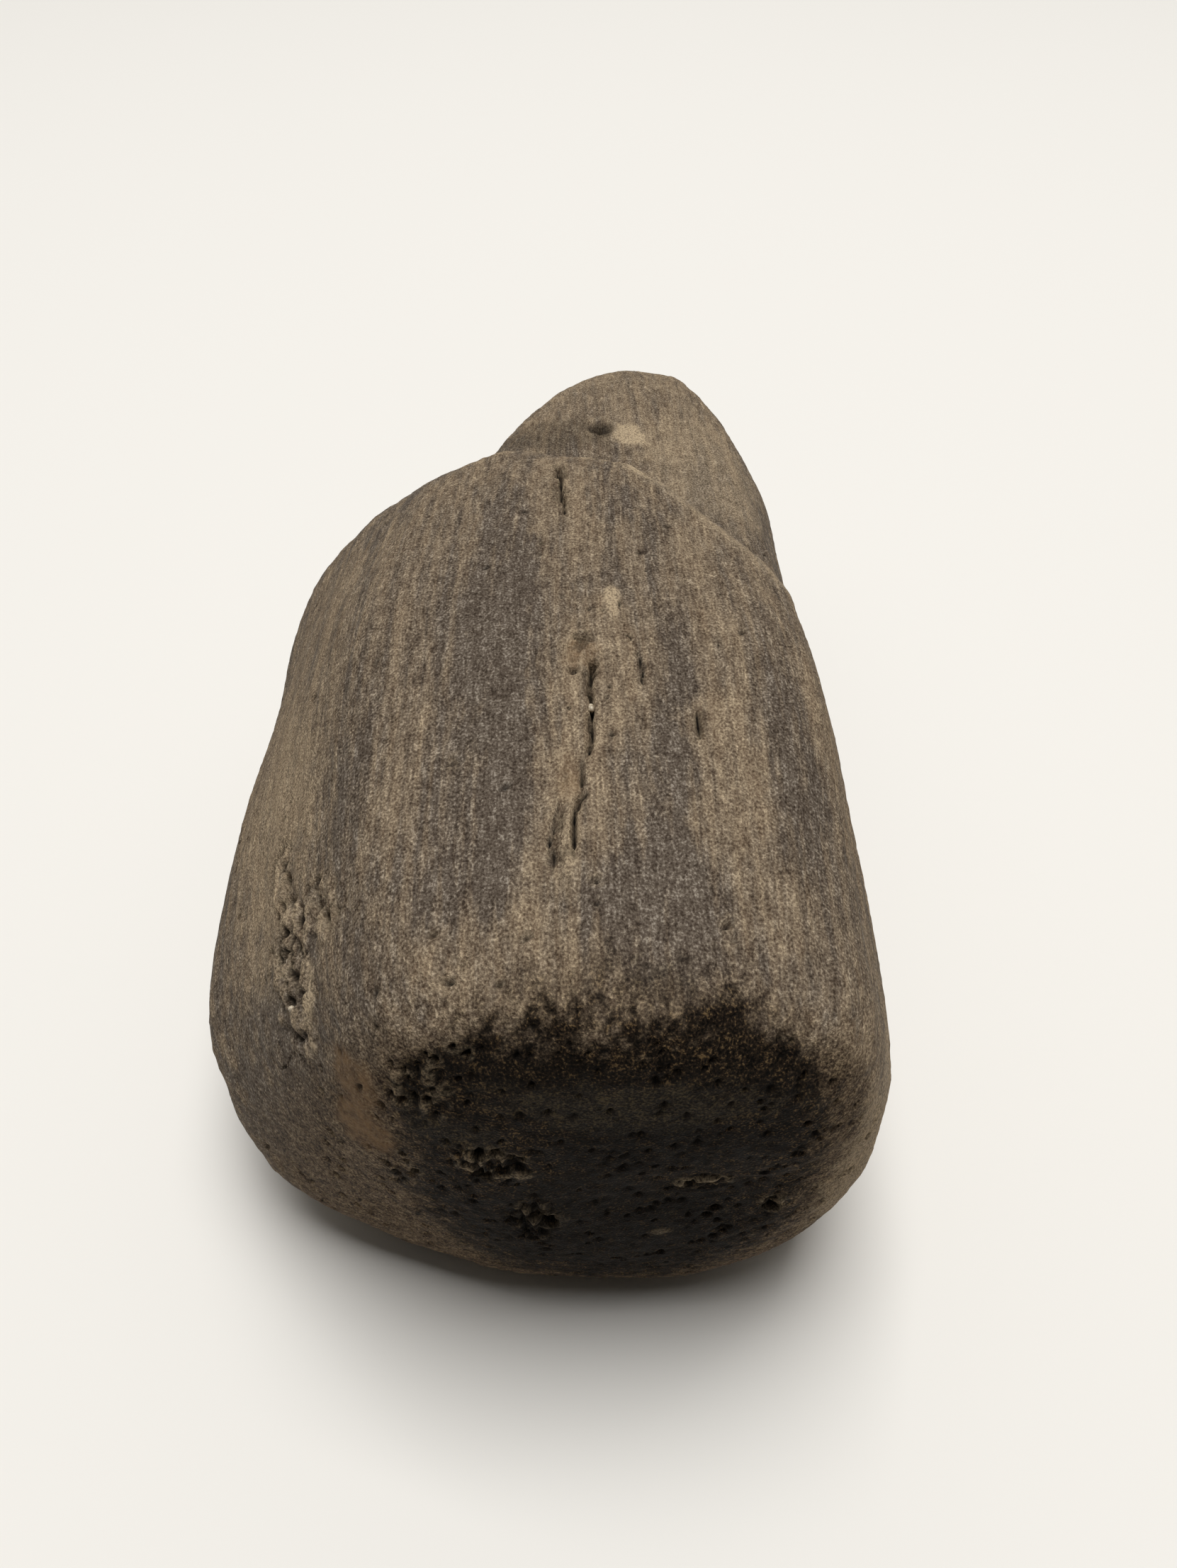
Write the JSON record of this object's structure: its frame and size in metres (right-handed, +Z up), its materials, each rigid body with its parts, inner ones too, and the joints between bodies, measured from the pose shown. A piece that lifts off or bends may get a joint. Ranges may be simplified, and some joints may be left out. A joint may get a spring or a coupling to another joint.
{
  "type": "petrified wood specimen",
  "caption": "Water-worn piece of petrified wood: a blunt rounded block with its grain running lengthwise and a lower, narrower tail behind a broken step, lying on a small flat spot.",
  "frame": {"origin": "middle of the bounding box, at the height of the flat spot that the stone rests on", "axes": "+Y along the wood grain from the blunt end to the tail, +Z up, +X to the right seen from the blunt end"},
  "size_m": [0.0516, 0.102, 0.0405],
  "materials": {
    "petrified_wood": "matte, worn by water, fine wood grain and pores"
  },
  "bodies": {
    "root": {"petrified_wood_stone": "petrified_wood"}
  },
  "joints": []
}
